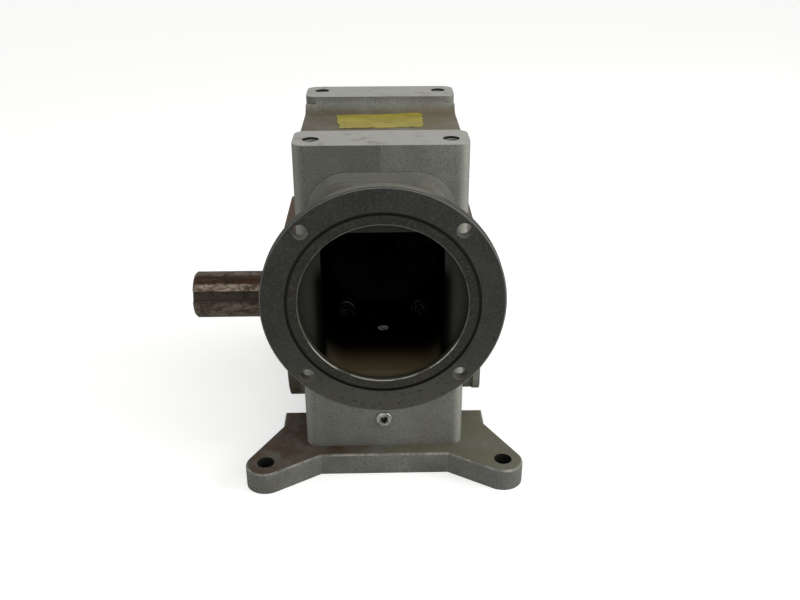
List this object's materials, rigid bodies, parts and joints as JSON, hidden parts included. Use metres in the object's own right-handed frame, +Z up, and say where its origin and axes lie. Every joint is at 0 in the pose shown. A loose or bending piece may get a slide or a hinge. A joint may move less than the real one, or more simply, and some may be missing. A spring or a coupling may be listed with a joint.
{
  "type": "worm gear reducer",
  "caption": "Cast-iron right-angle worm gear reducer on two feet, with a round motor flange on a square neck and a keyed output shaft to one side.",
  "frame": {"origin": "centre of the four foot holes on the mounting plane under the feet", "axes": "+Z up, -Y out of the motor flange along the worm, -X out along the output shaft"},
  "size_m": [0.2817, 0.3356, 0.2821],
  "materials": {
    "housing_iron": "sand-cast, thin grey coat, worn",
    "cover_iron": "sand-cast, rust-stained",
    "foot_iron": "sand-cast, dull and grimy",
    "flange_iron": "machined face, dark with age",
    "shaft_steel": "turned steel with light rust",
    "bearing_steel": "ground",
    "cage_steel": "pressed",
    "screw_steel": "blackened, dull",
    "plug_zinc": "zinc-plated",
    "gear_bronze": "cut bronze",
    "hub_iron": "machined",
    "seal_rubber": "moulded",
    "gasket_paper": "oiled fibre sheet",
    "shim_steel": "rolled shim stock"
  },
  "bodies": {
    "housing": {"gear_housing": "housing_iron", "motor_flange_adapter": "flange_iron", "adapter_gasket": "gasket_paper", "adapter_screws": "screw_steel", "adapter_drain_plug": "plug_zinc", "input_seal_cap": "housing_iron", "input_cap_gasket": "gasket_paper", "input_cap_screws": "screw_steel", "input_oil_seal": "seal_rubber", "worm_end_cap": "housing_iron", "worm_end_cap_shims": "shim_steel", "worm_end_cap_screws": "screw_steel", "output_side_cover": "cover_iron", "output_cover_gasket": "gasket_paper", "output_cover_screws": "screw_steel", "output_oil_seal": "seal_rubber", "closed_side_plate": "housing_iron", "closed_side_shims": "shim_steel", "closed_side_screws": "screw_steel", "front_foot": "foot_iron", "rear_foot": "foot_iron", "foot_bolts": "screw_steel", "foot_lock_washers": "screw_steel", "drain_plug": "plug_zinc", "rear_drain_plug": "plug_zinc", "oil_level_plug": "plug_zinc", "breather": "plug_zinc", "worm_front_bearing_cup": "bearing_steel", "worm_rear_bearing_cup": "bearing_steel", "output_left_bearing_cup": "bearing_steel", "output_right_bearing_cup": "bearing_steel"},
    "worm": {"worm_shaft": "shaft_steel", "worm_front_bearing_cone": "bearing_steel", "worm_rear_bearing_cone": "bearing_steel"},
    "output": {"output_shaft": "shaft_steel", "bronze_worm_gear": "gear_bronze", "gear_hub": "hub_iron", "gear_key": "shaft_steel", "gear_spacer": "shaft_steel", "output_left_bearing_cone": "bearing_steel", "output_right_bearing_cone": "bearing_steel"},
    "worm_rollers": {"worm_bearing_rollers": "bearing_steel", "worm_bearing_cages": "cage_steel"},
    "output_rollers": {"output_bearing_rollers": "bearing_steel", "output_bearing_cages": "cage_steel"}
  },
  "joints": [
    {"name": "output_spin", "type": "hinge", "parent": "housing", "child": "output", "pos_m": [0, 0, 0.11705], "axis": [1, 0, 0], "continuous": true},
    {"name": "worm_spin", "type": "hinge", "parent": "housing", "child": "worm", "pos_m": [0, 0, 0.1996], "axis": [0, 1, 0], "continuous": true},
    {"name": "worm_roller_spin", "type": "hinge", "parent": "housing", "child": "worm_rollers", "pos_m": [0, 0, 0.1996], "axis": [0, 1, 0], "continuous": true},
    {"name": "output_roller_spin", "type": "hinge", "parent": "housing", "child": "output_rollers", "pos_m": [0, 0, 0.11705], "axis": [1, 0, 0], "continuous": true}
  ],
  "couplings": [
    {"joint": "worm_spin", "follows": "output_spin", "ratio": 30},
    {"joint": "worm_roller_spin", "follows": "output_spin", "ratio": 12.72},
    {"joint": "output_roller_spin", "follows": "output_spin", "ratio": 0.4384}
  ]
}
